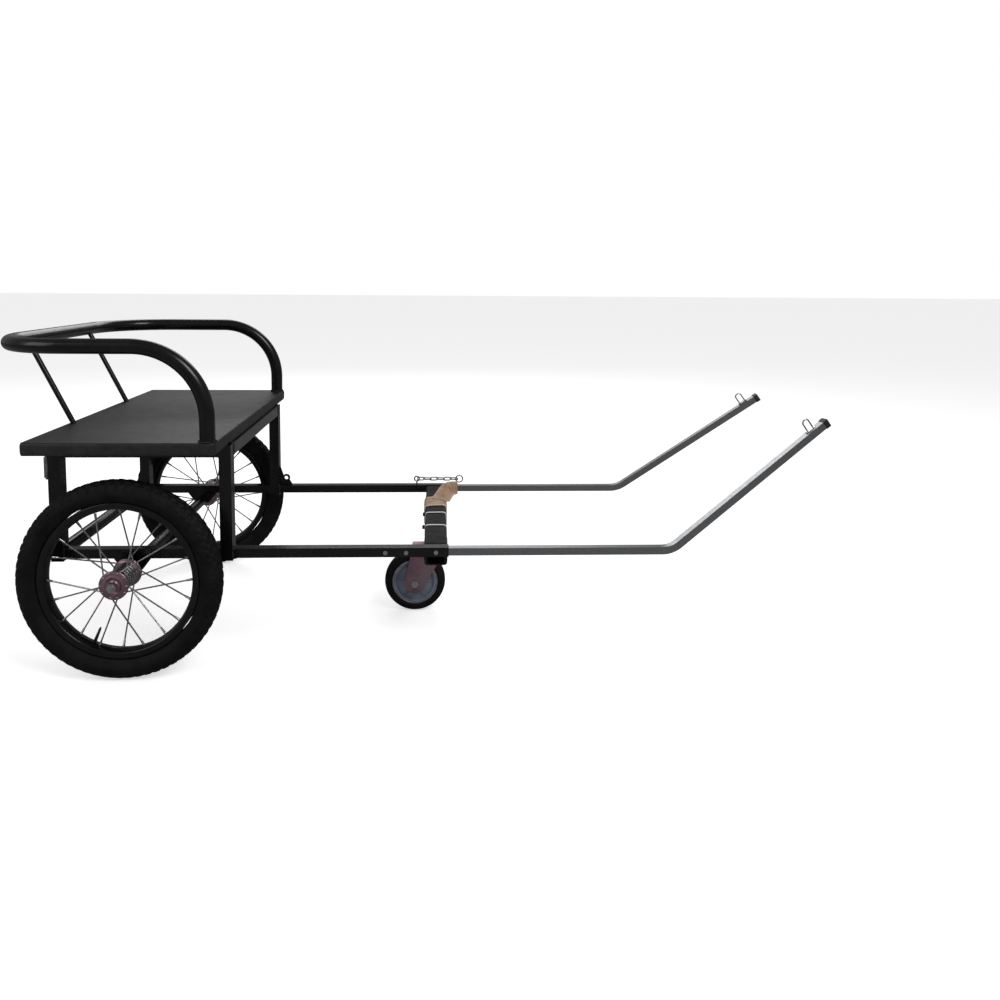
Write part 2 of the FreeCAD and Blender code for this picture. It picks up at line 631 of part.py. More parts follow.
# --- small fittings ---
def rear_latch():
    """Barrel bolt on the back of the right rear leg: plate, barrel and knob."""
    face = LEG_REAR_X - LEG / 2
    low = LATCH_TOP - LATCH_L
    plate = box(face - 2, face, -FRAME_Y - LATCH_W / 2, -FRAME_Y + LATCH_W / 2, low, LATCH_TOP)
    barrel_r = LATCH_W / 2 - 1
    barrel_x = face - 2 - barrel_r
    saddle = box(barrel_x, face, -FRAME_Y - barrel_r, -FRAME_Y + barrel_r, low + 10, LATCH_TOP - 12)
    barrel = rod_z(barrel_r, barrel_x, -FRAME_Y, low + 4, LATCH_TOP - 6)
    pin = rod_z(LATCH_W / 4, barrel_x, -FRAME_Y, low, LATCH_TOP + 4)
    knob = Part.makeSphere(LATCH_W / 2 - 2, V(barrel_x, -FRAME_Y, LATCH_TOP + 5))
    save("rear_latch", plate.fuse(saddle).fuse(barrel).fuse(pin).fuse(knob).removeSplitter())


def eye_plate():
    """Gusset with a round eye in the corner of the left front leg and its sleeve."""
    x0 = LEG_FRONT_X + LEG / 2
    y0 = FRAME_Y - EYE_PLATE_T / 2
    eye_x, eye_z = x0 + EYE_PLATE_L / 2, RAIL_TOP + EYE_PLATE_H * 0.35
    outline = Part.makePolygon([V(x0, y0, RAIL_TOP), V(x0 + EYE_PLATE_L, y0, RAIL_TOP),
                                V(eye_x + EYE_HOLE_R, y0, eye_z), V(eye_x - EYE_HOLE_R, y0, eye_z),
                                V(x0, y0, RAIL_TOP + EYE_PLATE_H), V(x0, y0, RAIL_TOP)])
    plate = Part.Face(outline).extrude(V(0, EYE_PLATE_T, 0))
    plate = plate.fuse(rod_y(2 * EYE_HOLE_R, eye_x, eye_z, y0, y0 + EYE_PLATE_T))
    plate = plate.cut(rod_y(EYE_HOLE_R, eye_x, eye_z, y0 - 1, y0 + EYE_PLATE_T + 1))
    save("left_eye_plate", plate.removeSplitter())


def main():
    seat_board()
    legs()
    seat_rails()
    side_rails()
    rear_cross_tube()
    axle_tube()
    axle_brackets()
    axle_spindles()
    wheels()
    backrest()
    shafts()
    tip_fittings()
    shaft_bolts()
    footrest()
    hitch_strap()
    hitch_chain()
    caster_fork(caster_head())
    caster_axle()
    caster_wheel()
    rear_latch()
    eye_plate()


main()
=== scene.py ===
import json
import math

import bpy
import numpy as np
from mathutils import Matrix, Vector


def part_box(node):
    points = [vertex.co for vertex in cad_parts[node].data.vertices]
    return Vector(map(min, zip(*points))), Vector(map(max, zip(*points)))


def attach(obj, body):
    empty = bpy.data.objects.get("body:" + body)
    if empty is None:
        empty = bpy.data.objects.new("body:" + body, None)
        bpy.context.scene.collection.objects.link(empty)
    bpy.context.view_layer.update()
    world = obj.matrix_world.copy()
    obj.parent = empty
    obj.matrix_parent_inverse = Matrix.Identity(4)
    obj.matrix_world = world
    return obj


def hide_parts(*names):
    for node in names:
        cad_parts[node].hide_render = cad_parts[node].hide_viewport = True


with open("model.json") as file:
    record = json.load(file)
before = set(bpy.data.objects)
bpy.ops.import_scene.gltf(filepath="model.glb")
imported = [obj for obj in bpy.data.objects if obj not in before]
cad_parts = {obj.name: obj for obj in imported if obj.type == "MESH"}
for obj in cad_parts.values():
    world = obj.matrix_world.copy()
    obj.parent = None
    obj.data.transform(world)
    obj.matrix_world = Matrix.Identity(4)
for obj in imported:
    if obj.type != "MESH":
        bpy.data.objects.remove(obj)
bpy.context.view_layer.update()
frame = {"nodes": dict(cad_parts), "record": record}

# Metres. +X is forward, +Y is the cart's left side, +Z is up.
SIDES = (("left", 1), ("right", -1))
TAU = 2 * math.pi

# ---------------------------------------------------------------- sizes from the frame


def middle(node):
    low, high = (np.array(c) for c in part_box(node))
    return (low + high) / 2


def extent(node):
    low, high = (np.array(c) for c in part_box(node))
    return high - low


TYRE_R = extent("left_tyre")[2] / 2
TYRE_HALF = extent("left_tyre")[1] / 2
RIM_R = extent("left_rim")[2] / 2
RIM_HALF = extent("left_rim")[1] / 2
HUB_HALF = extent("left_hub")[1] / 2
HUB_R = extent("left_hub")[2] / 2
PAD_HALF = extent("footrest_pad")[0] / 2
BEAM_MID = middle("footrest_beam")
CASTER_R = extent("caster_tyre")[2] / 2
CASTER_HALF = extent("caster_tyre")[1] / 2

# ---------------------------------------------------------------- materials


def new_material(name, color, roughness, metallic=0.0):
    mat = bpy.data.materials.new(name)
    mat.use_nodes = True
    shader = mat.node_tree.nodes["Principled BSDF"]
    shader.inputs["Base Color"].default_value = (*color, 1)
    shader.inputs["Roughness"].default_value = roughness
    shader.inputs["Metallic"].default_value = metallic
    return mat, mat.node_tree, shader


def add(tree, kind, **values):
    node = tree.nodes.new(kind)
    for key, value in values.items():
        if key in node.inputs:
            node.inputs[key].default_value = value
        else:
            setattr(node, key.lower(), value)
    return node


def noise(tree, scale, detail=4.0, stretch=(1, 1, 1)):
    """Noise read from object coordinates, stretched along an axis where asked."""
    coords = tree.nodes.new("ShaderNodeTexCoord")
    mapping = tree.nodes.new("ShaderNodeMapping")
    mapping.inputs["Scale"].default_value = stretch
    tex = tree.nodes.new("ShaderNodeTexNoise")
    tex.inputs["Scale"].default_value = scale
    tex.inputs["Detail"].default_value = detail
    tree.links.new(coords.outputs["Object"], mapping.inputs["Vector"])
    tree.links.new(mapping.outputs["Vector"], tex.inputs["Vector"])
    return tex.outputs["Fac"]


def ramp(tree, source, stops):
    node = tree.nodes.new("ShaderNodeValToRGB")
    elements = node.color_ramp.elements
    while len(elements) < len(stops):
        elements.new(0.5)
    for element, (place, color) in zip(elements, stops):
        element.position = place
        element.color = (*color, 1)
    tree.links.new(source, node.inputs["Fac"])
    return node.outputs["Color"]


def rough_from(tree, shader, source, low, high):
    node = tree.nodes.new("ShaderNodeMapRange")
    node.inputs["To Min"].default_value = low
    node.inputs["To Max"].default_value = high
    tree.links.new(source, node.inputs["Value"])
    tree.links.new(node.outputs["Result"], shader.inputs["Roughness"])


def bump_from(tree, shader, source, strength, distance):
    node = tree.nodes.new("ShaderNodeBump")
    node.inputs["Strength"].default_value = strength
    node.inputs["Distance"].default_value = distance
    tree.links.new(source, node.inputs["Height"])
    tree.links.new(node.outputs["Normal"], shader.inputs["Normal"])


def black_paint():
    mat, tree, shader = new_material("black_paint", (0.004, 0.004, 0.005), 0.3)
    dust = noise(tree, 22, 6)
    tree.links.new(ramp(tree, dust, [(0.35, (0.002, 0.002, 0.0025)), (0.75, (0.006, 0.0055, 0.006))]),
                   shader.inputs["Base Color"])
    rough_from(tree, shader, noise(tree, 60, 5), 0.16, 0.34)
    bump_from(tree, shader, noise(tree, 900, 2), 0.08, 0.0004)
    shader.inputs["Specular IOR Level"].default_value = 0.38
    shader.inputs["Coat Weight"].default_value = 0.12
    shader.inputs["Coat Roughness"].default_value = 0.1
    return mat


def seat_laminate():
    mat, tree, shader = new_material("seat_laminate", (0.012, 0.012, 0.013), 0.4)
    scuff = noise(tree, 9, 8)
    tree.links.new(ramp(tree, scuff, [(0.3, (0.003, 0.003, 0.0036)), (0.8, (0.009, 0.009, 0.0095))]),
                   shader.inputs["Base Color"])
    rough_from(tree, shader, noise(tree, 30, 7), 0.34, 0.52)
    bump_from(tree, shader, noise(tree, 700, 3), 0.25, 0.0005)
    shader.inputs["Specular IOR Level"].default_value = 0.32
    return mat


def aluminium():
    mat, tree, shader = new_material("bare_aluminium", (0.5, 0.51, 0.52), 0.35, 1.0)
    drawn = noise(tree, 420, 5)
    tree.links.new(ramp(tree, drawn, [(0.3, (0.27, 0.275, 0.285)), (0.75, (0.42, 0.425, 0.435))]),
                   shader.inputs["Base Color"])
    rough_from(tree, shader, noise(tree, 90, 6), 0.32, 0.46)
    bump_from(tree, shader, drawn, 0.12, 0.0003)
    return mat


def steel(name, dark, light, low, high):
    mat, tree, shader = new_material(name, light, 0.3, 1.0)
    mottle = noise(tree, 120, 5)
    tree.links.new(ramp(tree, mottle, [(0.3, dark), (0.75, light)]), shader.inputs["Base Color"])
    rough_from(tree, shader, noise(tree, 260, 4), low, high)
    bump_from(tree, shader, noise(tree, 1400, 2), 0.1, 0.0002)
    return mat


def tinted_zinc():
    """Passivated zinc: pinks, violets and straw that drift over the surface."""
    mat, tree, shader = new_material("tinted_zinc", (0.45, 0.3, 0.36), 0.32, 0.9)
    drift = noise(tree, 26, 5)
    stops = [(0.25, (0.16, 0.15, 0.22)), (0.42, (0.32, 0.19, 0.24)), (0.56, (0.40, 0.26, 0.30)),
             (0.68, (0.30, 0.29, 0.31)), (0.8, (0.42, 0.36, 0.29))]
    tree.links.new(ramp(tree, drift, stops), shader.inputs["Base Color"])
    rough_from(tree, shader, noise(tree, 90, 6), 0.22, 0.48)
    bump_from(tree, shader, noise(tree, 1100, 3), 0.12, 0.0003)
    return mat


def tyre_rubber():
    mat, tree, shader = new_material("black_tyre", (0.012, 0.010, 0.011), 0.62)
    dust = noise(tree, 34, 8)
    tree.links.new(ramp(tree, dust, [(0.35, (0.0022, 0.0018, 0.002)), (0.8, (0.008, 0.0066, 0.0068))]),
                   shader.inputs["Base Color"])
    rough_from(tree, shader, noise(tree, 120, 6), 0.5, 0.8)
    bump_from(tree, shader, noise(tree, 1500, 3), 0.3, 0.0004)
    shader.inputs["Specular IOR Level"].default_value = 0.22
    return mat


def ribbed_rubber():
    mat, tree, shader = new_material("ribbed_rubber", (0.03, 0.031, 0.032), 0.7)
    worn = noise(tree, 60, 7)
    tree.links.new(ramp(tree, worn, [(0.3, (0.012, 0.0122, 0.0125)), (0.8, (0.030, 0.0305, 0.031))]),
                   shader.inputs["Base Color"])
    shader.inputs["Specular IOR Level"].default_value = 0.3
    rough_from(tree, shader, noise(tree, 200, 5), 0.58, 0.85)
    bump_from(tree, shader, noise(tree, 1800, 2), 0.3, 0.0004)
    return mat


def leather():
    """Tan hide, darker in the creases, with a pale raw edge where the edge attribute is one."""
    mat, tree, shader = new_material("tan_leather", (0.42, 0.24, 0.18), 0.6)
    hide = ramp(tree, noise(tree, 70, 7), [(0.25, (0.22, 0.13, 0.055)), (0.5, (0.40, 0.25, 0.15)),
                                           (0.8, (0.58, 0.38, 0.30))])
    raw = ramp(tree, noise(tree, 300, 4), [(0.3, (0.62, 0.52, 0.36)), (0.8, (0.86, 0.80, 0.66))])
    edge = tree.nodes.new("ShaderNodeAttribute")
    edge.attribute_name = "edge"
    mix = tree.nodes.new("ShaderNodeMixRGB")
    tree.links.new(edge.outputs["Fac"], mix.inputs["Fac"])
    tree.links.new(hide, mix.inputs["Color1"])
    tree.links.new(raw, mix.inputs["Color2"])
    tree.links.new(mix.outputs["Color"], shader.inputs["Base Color"])
    rough_from(tree, shader, noise(tree, 160, 5), 0.45, 0.75)
    bump_from(tree, shader, noise(tree, 650, 6), 0.5, 0.0008)
    return mat


def plastic(name, dark, light, low, high):
    mat, tree, shader = new_material(name, light, 0.4)
    mottle = noise(tree, 45, 6)
    tree.links.new(ramp(tree, mottle, [(0.3, dark), (0.8, light)]), shader.inputs["Base Color"])
    rough_from(tree, shader, noise(tree, 150, 4), low, high)
    bump_from(tree, shader, noise(tree, 1200, 2), 0.12, 0.0003)
    return mat


MATERIALS = {
    "black_paint": black_paint(),
    "seat_laminate": seat_laminate(),
    "bare_aluminium": aluminium(),
    "bright_steel": steel("bright_steel", (0.30, 0.30, 0.31), (0.66, 0.66, 0.67), 0.18, 0.36),
    "bright_zinc": steel("bright_zinc", (0.40, 0.40, 0.41), (0.75, 0.75, 0.74), 0.2, 0.4),
    "grey_zinc": steel("grey_zinc", (0.16, 0.16, 0.16), (0.42, 0.42, 0.43), 0.35, 0.6),
    "tinted_zinc": tinted_zinc(),
    "black_tyre": tyre_rubber(),
    "ribbed_rubber": ribbed_rubber(),
    "tan_leather": leather(),
    "black_plastic": plastic("black_plastic", (0.006, 0.006, 0.006), (0.02, 0.02, 0.021), 0.4, 0.6),
    "white_nylon": plastic("white_nylon", (0.66, 0.66, 0.66), (0.84, 0.84, 0.83), 0.3, 0.5),
    "grey_plastic": plastic("grey_plastic", (0.09, 0.11, 0.15), (0.19, 0.22, 0.28), 0.35, 0.6),
}


def dress_cad_nodes():
    """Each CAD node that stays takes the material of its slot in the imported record."""
    slots = {part["node"]: part["material_slot"] for part in frame["record"]["subparts"]}
    for name, obj in frame["nodes"].items():
        obj.data.materials.clear()
        obj.data.materials.append(MATERIALS[slots[name]])


# ---------------------------------------------------------------- mesh helpers


def quads(rows, cols, close_rows, close_cols, start=0):
    """Vertex indices of the quads of a grid, wrapped where a direction is closed."""
    i = np.arange(rows if close_rows else rows - 1)
    j = np.arange(cols if close_cols else cols - 1)
    i, j = np.meshgrid(i, j, indexing="ij")
    i2, j2 = (i + 1) % rows, (j + 1) % cols
    face = np.stack([i * cols + j, i2 * cols + j, i2 * cols + j2, i * cols + j2], -1)
    return face.reshape(-1, 4) + start


def make_piece(name, grids, body, slot, replaced=(), closed=(True, True), edge=None, flip=False):
    """One object from grids of points, each (rows, columns, 3), joined as quads."""
    verts, faces, start = [], [], 0
    for grid in grids:
        rows, cols, _ = grid.shape
        verts.append(grid.reshape(-1, 3))
        faces.append(quads(rows, cols, closed[0], closed[1], start))
        start += rows * cols
    verts, faces = np.concatenate(verts), np.concatenate(faces)
    if flip:
        faces = faces[:, ::-1]
    mesh = bpy.data.meshes.new(name)
    mesh.from_pydata(verts.tolist(), [], faces.tolist())
    mesh.polygons.foreach_set("use_smooth", np.ones(len(faces), bool))
    if edge is not None:
        layer = mesh.attributes.new("edge", "FLOAT", "POINT")
        layer.data.foreach_set("value", edge.astype(np.float32).ravel())
    mesh.materials.append(MATERIALS[slot])
    mesh.update()
    obj = bpy.data.objects.new(name, mesh)
    bpy.context.collection.objects.link(obj)
    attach(obj, body)
    if replaced:
        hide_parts(*replaced)
    return obj


def turned(profile, centre, count=96):
    """Closed (radius, along Y) profile turned about Y through centre:
    x = r cos t, y = offset, z = r sin t."""
    profile = np.array(profile)
    t = np.linspace(0, TAU, count, endpoint=False)[:, None]
    r, y = profile[None, :, 0], profile[None, :, 1]
    grid = np.stack([r * np.cos(t), np.broadcast_to(y, (count, len(profile))), r * np.sin(t)], -1)
    return grid + np.asarray(centre)


def upright(grid, centre):
    """Turns a grid made about Y so that its axis is Z."""
    local = grid - np.asarray(centre)
    return np.stack([local[..., 0], -local[..., 2], local[..., 1]], -1) + np.asarray(centre)


def softened(points, cuts=3):
    """Corner-cut copy of a closed outline, so that its edges catch the light."""
    points = np.array(points, float)
    for _ in range(cuts):
        following = np.roll(points, -1, 0)
        points = np.stack([points * 0.88 + following * 0.12, points * 0.12 + following * 0.88],
                          1).reshape(-1, 2)
    return points


def tube(path, radius, sides=12):
    """Round tube along an open or closed run of points: p(t) + r (n cos a + b sin a)."""
    path = np.asarray(path, float)
    tangent = np.gradient(path, axis=0)
    tangent /= np.linalg.norm(tangent, axis=1)[:, None]
    helper = np.where(np.abs(tangent[:, 2:3]) > 0.9, [[1.0, 0, 0]], [[0, 0, 1.0]])
    normal = np.cross(tangent, helper)
    normal /= np.linalg.norm(normal, axis=1)[:, None]
    binormal = np.cross(tangent, normal)
    a = np.linspace(0, TAU, sides, endpoint=False)[None, :, None]
    return path[:, None] + radius * (normal[:, None] * np.cos(a) + binormal[:, None] * np.sin(a))


# ---------------------------------------------------------------- big wheels


def smooth_step(value, low, high):
    t = np.clip((value - low) / (high - low), 0, 1)
    return t * t * (3 - 2 * t)


def tread_height(theta, across):
    """Small blocks in rows: a product of two square-ish waves, each row half a block on."""
    row = np.floor((across + 1) * 3.5)
    around = np.sin(theta * 66 + row * math.pi)
    sideways = np.cos((across + 1) * 3.5 * TAU / 2 * 2)
    block = smooth_step(around, -0.55, -0.1) * smooth_step(-sideways, -0.75, -0.25)
    return block * (1 - smooth_step(np.abs(across), 0.86, 0.98))


def tyres():
    """Section: y = w sin a, r = R - w + k(a) cos a, with blocks standing on the tread."""
    theta = np.linspace(0, TAU, 792, endpoint=False)[:, None]
    a = np.linspace(-2.32, 2.32, 60)[None, :]
    block = 0.0019
    across = np.clip(a / 1.25, -1, 1)
    lift = tread_height(theta, across) * block - block
    bead = smooth_step(np.abs(a), 1.5, 2.3)
    half = TYRE_HALF - bead * 0.004
    radius = TYRE_R - TYRE_HALF + (TYRE_HALF + lift) * np.cos(a)
    sideways = (half + lift * 0.7) * np.sin(a) + 0 * theta
    ridge = 0.0006 * np.exp(-((np.abs(a) - 1.72) / 0.05) ** 2)
    radius = np.maximum(radius + ridge, RIM_R - 0.001)
    for side, _ in SIDES:
        centre = middle(side + "_tyre")
        grid = np.stack([radius * np.cos(theta), sideways, radius * np.sin(theta)], -1) + centre
        make_piece(side + "_tyre_tread", [grid], side + "_wheel", "black_tyre",
                   [side + "_tyre"], closed=(True, True))


def rims():
    """Box-section rim with rounded flanges and a shallow dish inside."""
    h, inner = RIM_HALF, RIM_R - 0.017
    outline = softened([(inner + 0.0015, -h * 0.45), (inner, 0), (inner + 0.0015, h * 0.45),
                        (inner + 0.0045, h * 0.93), (RIM_R - 0.002, h), (RIM_R, h * 0.94),
                        (RIM_R - 0.0045, h * 0.8), (RIM_R - 0.0105, 0), (RIM_R - 0.0045, -h * 0.8),
                        (RIM_R, -h * 0.94), (RIM_R - 0.002, -h), (inner + 0.0045, -h * 0.93)], 2)
    for side, _ in SIDES:
        centre = middle(side + "_rim")
        make_piece(side + "_rim_shell", [turned(outline, centre, 144)], side + "_wheel",
                   "black_paint", [side + "_rim"])


def hubs():
    """Barrel with turned ribs between two dished flanges, and a bearing cup at each end."""
    flange = [(HUB_R - 0.0018, 0.0302), (HUB_R, 0.0309), (HUB_R, 0.0328), (HUB_R - 0.0018, 0.0337),
              (0.0222, 0.0337), (0.0200, 0.0345), (0.0178, HUB_HALF), (0.0160, HUB_HALF),
              (0.0150, 0.0325), (0.0098, 0.0318), (0.0090, HUB_HALF - 0.0004), (0.0066, HUB_HALF)]
    right = np.array(flange)
    left = right[::-1] * [1, -1]
    outline = np.concatenate([left, [(0.0195, -0.028), (0.0195, 0.028)], right])
    y = np.linspace(-0.0282, 0.0282, 84)
    ribbed = np.stack([0.0222 + 0.0011 * np.cos(y / 0.0282 * math.pi * 6), y], -1)
    sleeve = np.concatenate([ribbed, [(0.0198, 0.0282), (0.0198, -0.0282)]])
    for side, _ in SIDES:
        centre = middle(side + "_hub")
        make_piece(side + "_hub_shell", [turned(outline, centre, 96)], side + "_wheel",
                   "tinted_zinc", [side + "_hub"])
        make_piece(side + "_hub_barrel", [turned(sleeve, centre, 96)], side + "_wheel",
                   "bright_steel")


def spoke_lines(centre):
    """Head and rim end of each spoke, as in the frame: ten to a flange, leaning in turn."""
    i = np.arange(20)
    side = np.where(i % 2 == 1, 1, -1)
    lean = np.where((i // 2) % 2 == 1, 1, -1) * math.radians(34)
    at_rim, at_hub = TAU * i / 20, TAU * i / 20 + lean
    rim_in = RIM_R - 0.0168
    head = np.stack([0.025 * np.cos(at_hub), side * 0.0302, 0.025 * np.sin(at_hub)], -1)
    end = np.stack([rim_in * np.cos(at_rim), side * RIM_HALF / 4, rim_in * np.sin(at_rim)], -1)
    return head + centre, end + centre, side


def spoke_fittings():
    """Nipples at the rim and round spoke heads on the outer faces of the flanges."""
    for side, _ in SIDES:
        centre = middle(side + "_hub")
        head, end, way = spoke_lines(centre)
        along = (end - head) / np.linalg.norm(end - head, axis=1)[:, None]
        steps = np.array([0.014, 0.0135, 0.011, 0.0105, 0.004, 0.0035, 0.0])
        radii = np.array([0.0013, 0.0018, 0.0019, 0.0023, 0.0023, 0.0026, 0.0026])
        nipples = []
        for e, d in zip(end, along):
            path = e - d * steps[:, None]
            line = tube(path, 1.0, 10)
            nipples.append(path[:, None] + (line - path[:, None]) * radii[:, None, None])
        make_piece(side + "_nipples", nipples, side + "_wheel", "bright_steel", closed=(False, True))
        heads = []
        dome = np.array([(0.0001, 0.0017), (0.0012, 0.0015), (0.0021, 0.0008), (0.0023, 0.0),
                         (0.0001, -0.0004)])
        for h, w in zip(head, way):
            spot = h.copy()
            spot[1] = centre[1] + w * 0.0338
            heads.append(turned(dome * [1, w], spot, 12))
        make_piece(side + "_spoke_heads", heads, side + "_wheel", "bright_steel")


def tyre_valves():
    """Rubber valve stem with a narrower tip, through each rim."""
    stem = [(0.0001, 0.0), (0.0035, 0.0), (0.0032, 0.010), (0.0026, 0.022), (0.0026, 0.030),
            (0.0018, 0.0305), (0.0018, 0.0335), (0.0001, 0.034)]
    for side, _ in SIDES:
        centre = middle(side + "_rim")
        angle = math.radians(247)
        out = np.array([math.cos(angle), 0, math.sin(angle)])
        across = np.array([-out[2], 0, out[0]])
        grid = turned(stem, (0, 0, 0), 16)
        base = centre + out * (RIM_R - 0.0168)
        placed = (grid[..., :1] * across - grid[..., 1:2] * out
                  + grid[..., 2:] * np.array([0, 1.0, 0])) + base
        make_piece(side + "_valve", [placed], side + "_wheel", "black_plastic")


# ---------------------------------------------------------------- caster


def caster():
    low_mid = middle("caster_tyre")
    rim_r = CASTER_R * 0.75
    h = CASTER_HALF
    tyre = [(rim_r, -h * 0.9), (rim_r, h * 0.9), (rim_r + 0.003, h), (CASTER_R - 0.008, h * 0.97),
            (CASTER_R - 0.0025, h * 0.72), (CASTER_R, h * 0.3), (CASTER_R, -h * 0.3),
            (CASTER_R - 0.0025, -h * 0.72), (CASTER_R - 0.008, -h * 0.97), (rim_r + 0.003, -h)]
    make_piece("caster_tread", [turned(softened(tyre, 3), low_mid, 128)], "caster_wheel",
               "black_tyre", ["caster_tyre"])
    hub_half = extent("caster_wheel")[1] / 2
    face = [(0.0056, hub_half), (0.0135, hub_half), (0.0150, hub_half - 0.002), (0.0155, 0.0115),
            (0.0185, 0.0085), (0.0400, 0.0075), (0.0440, 0.0100), (0.0460, h * 0.86),
            (0.0500, h * 0.9), (0.0505, h * 0.84), (0.0545, h * 0.84), (rim_r, h * 0.8)]
    outline = np.array(face + [(r, -y) for r, y in face[::-1]])
    make_piece("caster_centre", [turned(softened(outline, 1), low_mid, 128)], "caster_wheel",
               "grey_plastic", ["caster_wheel"])
    ring = softened([(0.0505, 0), (0.0505, h * 0.93), (0.0535, h * 0.93), (0.0535, 0)], 2)
    pale = [turned(ring * [1, s], low_mid, 128) for s in (1, -1)]
    make_piece("caster_ring", pale, "caster_wheel", "bright_zinc")
    ribs = []
    for k in range(6):
        angle = TAU * k / 6
        r = np.linspace(0.015, 0.045, 12)
        for s in (1, -1):
            crest = np.stack([r * math.cos(angle), s * (0.0088 + 0.0012 * np.sin(r * 105)),
                              r * math.sin(angle)], -1) + low_mid
            ribs.append(tube(crest, 0.0022, 10))
    make_piece("caster_ribs", ribs, "caster_wheel", "grey_plastic", closed=(False, True))
    swivel = middle("caster_head")
    head_low = np.array(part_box("caster_fork")[1])[2]
    cup = softened([(0.0195, -0.010), (0.0235, -0.006), (0.0240, 0.004), (0.0205, 0.0095),
                    (0.0195, 0.010)], 2)
    place = (swivel[0], swivel[1], head_low - 0.004)
    make_piece("caster_race", [upright(turned(cup, place, 72), place)], "caster", "tinted_zinc")


# ---------------------------------------------------------------- footrest


def rounded_square(half, corner, count):
    """Points of a square with round corners; returns points and outward normals."""
    t = np.linspace(0, TAU, count, endpoint=False)
    power = 2.0 + 9.0 * (1 - corner)
    c, s = np.cos(t), np.sin(t)
    scale = (np.abs(c) ** power + np.abs(s) ** power) ** (-1 / power)
    points = np.stack([c * scale, s * scale], -1) * half
    normal = np.stack([np.sign(c) * np.abs(c * scale) ** (power - 1),
                       np.sign(s) * np.abs(s * scale) ** (power - 1)], -1)
    normal /= np.linalg.norm(normal, axis=1)[:, None]
    return points, normal


def footrest_pad():
    """Foam sleeve with fine ribs along it, nipped in under the ties and at its ends."""
    count = 720
    points, normal = rounded_square(PAD_HALF - 0.0009, 0.25, count)
    k = np.arange(count)
    rib = 0.0009 * np.abs(np.sin(k / count * math.pi * 72))
    half = extent("footrest_pad")[1] / 2
    y = np.concatenate([[-half], np.linspace(-half + 0.0008, half - 0.0008, 120), [half]])
    nip = np.zeros_like(y)
    for tie in (-0.100, -0.010):
        nip += 0.0012 * np.exp(-((y - tie) / 0.006) ** 2)
    nip[[0, -1]] += 0.0025
    sag = 0.0004 * np.sin(y * 61) + 0.0003 * np.sin(y * 143 + 1)
    out = rib[None, :] - nip[:, None] + sag[:, None]
    section = points[None] + normal[None] * out[..., None]
    grid = np.stack([section[..., 0] + BEAM_MID[0], np.broadcast_to(y[:, None], out.shape),
                     section[..., 1] + BEAM_MID[2]], -1)
    inner = points * 0.86
    core = np.stack([np.broadcast_to(inner[:, 0], out.shape) + BEAM_MID[0],
                     np.broadcast_to(y[:, None], out.shape),
                     np.broadcast_to(inner[:, 1], out.shape) + BEAM_MID[2]], -1)
    whole = np.concatenate([grid, core[::-1][[0, -1]]])
    pad = make_piece("foam_sleeve", [whole], "frame", "ribbed_rubber", ["footrest_pad"])


# ---------------------------------------------------------------- bands, strap, edging, welds


def across_y(flat, along):
    """Places (x, z) points and a distance along Y in the row frame."""
    return np.stack([flat[..., 0], along, flat[..., 1]], -1)


def across_z(flat, along):
    return np.stack([flat[..., 0], flat[..., 1], along], -1)


def banded(points, normals, profile, place):
    """Closed band: each outline point p carries the profile (out, along) as p + out n."""
    profile = np.asarray(profile)
    flat = points[:, None] + normals[:, None] * profile[None, :, 0, None]
    along = np.broadcast_to(profile[None, :, 1], flat.shape[:2])
    return place(flat, along)


def strip_profile(thick, width, middle_along=0.0):
    corners = [(0, -width / 2), (0, width / 2), (thick, width / 2), (thick, -width / 2)]
    return softened(corners, 3) + [0, middle_along]


def cable_ties():
    """Nylon straps with a ratchet head each, round the foam sleeve."""
    points, normals = rounded_square(PAD_HALF - 0.0005, 0.3, 240)
    points = points + BEAM_MID[[0, 2]]
    names = []
    for number, y in enumerate((-0.100, -0.010)):
        lean = 0.0015 * np.sin(np.arange(240) / 240 * TAU + number)
        grid = banded(points, normals, strip_profile(0.0014, 0.0046, y), across_y)
        grid[..., 1] += lean[:, None]
        head_out, head_h = softened([(-0.003, -0.0036), (0.003, -0.0036), (0.003, 0.0036),
                                     (-0.003, 0.0036)], 3), 0.0075
        levels = np.array([0.0, 0.0002, 0.0008, head_h - 0.0008, head_h - 0.0002, head_h])
        shrink = np.array([0.6, 0.92, 1.0, 1.0, 0.92, 0.6])
        head = np.stack([np.concatenate([head_out * k, np.full((len(head_out), 1), z)], 1)
                         for k, z in zip(shrink, levels)])
        corner = (BEAM_MID[0] - PAD_HALF - 0.0032, y, BEAM_MID[2] + PAD_HALF - 0.0085)
        head = head[..., [0, 1, 2]] + np.array(corner)
        names.append(make_piece("cable_tie_%d" % number, [grid], "frame", "white_nylon",
                                ["cable_ties"] if number == 0 else ()))
        make_piece("cable_tie_head_%d" % number, [head], "frame", "black_plastic",
                   closed=(False, True))


